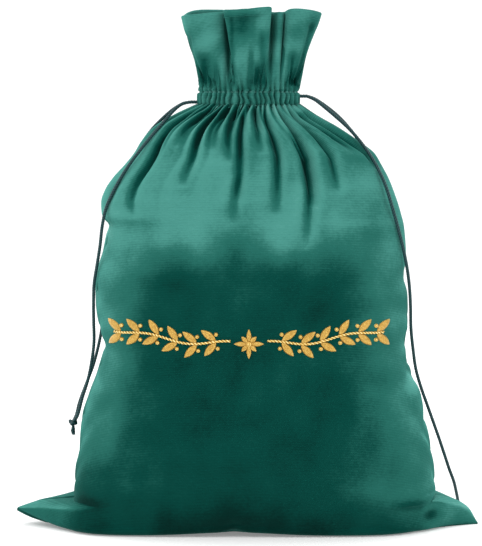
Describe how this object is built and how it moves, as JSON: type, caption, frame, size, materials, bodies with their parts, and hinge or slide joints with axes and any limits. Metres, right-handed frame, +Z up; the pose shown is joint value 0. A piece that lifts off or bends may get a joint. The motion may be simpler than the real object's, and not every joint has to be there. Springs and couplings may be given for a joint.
{
  "type": "drawstring gift sack",
  "caption": "Green velvet gift sack standing filled, neck gathered by two satin drawstrings under a frill, gold garland on the front.",
  "frame": {"origin": "middle of the base, on the surface that the sack stands on", "axes": "+Z up through the neck, +Y towards the sack's back, +X to the right when the ornament is seen from the front"},
  "size_m": [0.287, 0.1292, 0.32],
  "materials": {
    "velvet": "deep green short-pile velvet with brushed nap",
    "velvet_lining": "turned-in velvet, pile pressed flat",
    "satin_cord": "dark teal satin drawstring",
    "gold_thread": "gold rayon embroidery thread, satin stitch",
    "sewing_thread": "matching green sewing thread"
  },
  "bodies": {
    "root": {"front_panel": "velvet", "back_panel": "velvet", "left_side_seam": "velvet_lining", "right_side_seam": "velvet_lining", "bottom_seam": "velvet_lining", "embroidery_vine": "gold_thread", "embroidery_leaves": "gold_thread", "embroidery_berries": "gold_thread", "embroidery_star": "gold_thread"},
    "front_neck": {"front_casing": "velvet", "front_facing": "velvet_lining", "front_frill": "velvet", "front_lower_stitching": "sewing_thread", "front_upper_stitching": "sewing_thread", "left_cord_front_run": "satin_cord", "right_cord_front_run": "satin_cord"},
    "back_neck": {"back_casing": "velvet", "back_facing": "velvet_lining", "back_frill": "velvet", "back_lower_stitching": "sewing_thread", "back_upper_stitching": "sewing_thread", "left_cord_back_run": "satin_cord", "right_cord_back_run": "satin_cord"},
    "left_pull": {"left_cord_ends": "satin_cord"},
    "left_loop": {"left_cord_front_tail": "satin_cord", "left_cord_back_tail": "satin_cord", "left_cord_knot": "satin_cord"},
    "right_pull": {"right_cord_ends": "satin_cord"},
    "right_loop": {"right_cord_front_tail": "satin_cord", "right_cord_back_tail": "satin_cord", "right_cord_knot": "satin_cord"}
  },
  "joints": [
    {"name": "front_mouth_open", "type": "slide", "parent": "root", "child": "front_neck", "axis": [0, -1, 0], "range_m": [0, 0.02]},
    {"name": "back_mouth_open", "type": "slide", "parent": "root", "child": "back_neck", "axis": [0, 1, 0], "range_m": [0, 0.02]},
    {"name": "left_cord_pull", "type": "slide", "parent": "root", "child": "left_pull", "axis": [-1, 0, 0], "range_m": [0, 0.015]},
    {"name": "left_cord_swing", "type": "hinge", "parent": "left_pull", "child": "left_loop", "pos_m": [-0.036, 0, 0.2627], "axis": [0, 1, 0], "range_deg": [0, 40]},
    {"name": "right_cord_pull", "type": "slide", "parent": "root", "child": "right_pull", "axis": [1, 0, 0], "range_m": [0, 0.015]},
    {"name": "right_cord_swing", "type": "hinge", "parent": "right_pull", "child": "right_loop", "pos_m": [0.036, 0, 0.2663], "axis": [0, -1, 0], "range_deg": [0, 40]}
  ],
  "couplings": [
    {"joint": "back_mouth_open", "follows": "front_mouth_open", "ratio": 1}
  ]
}
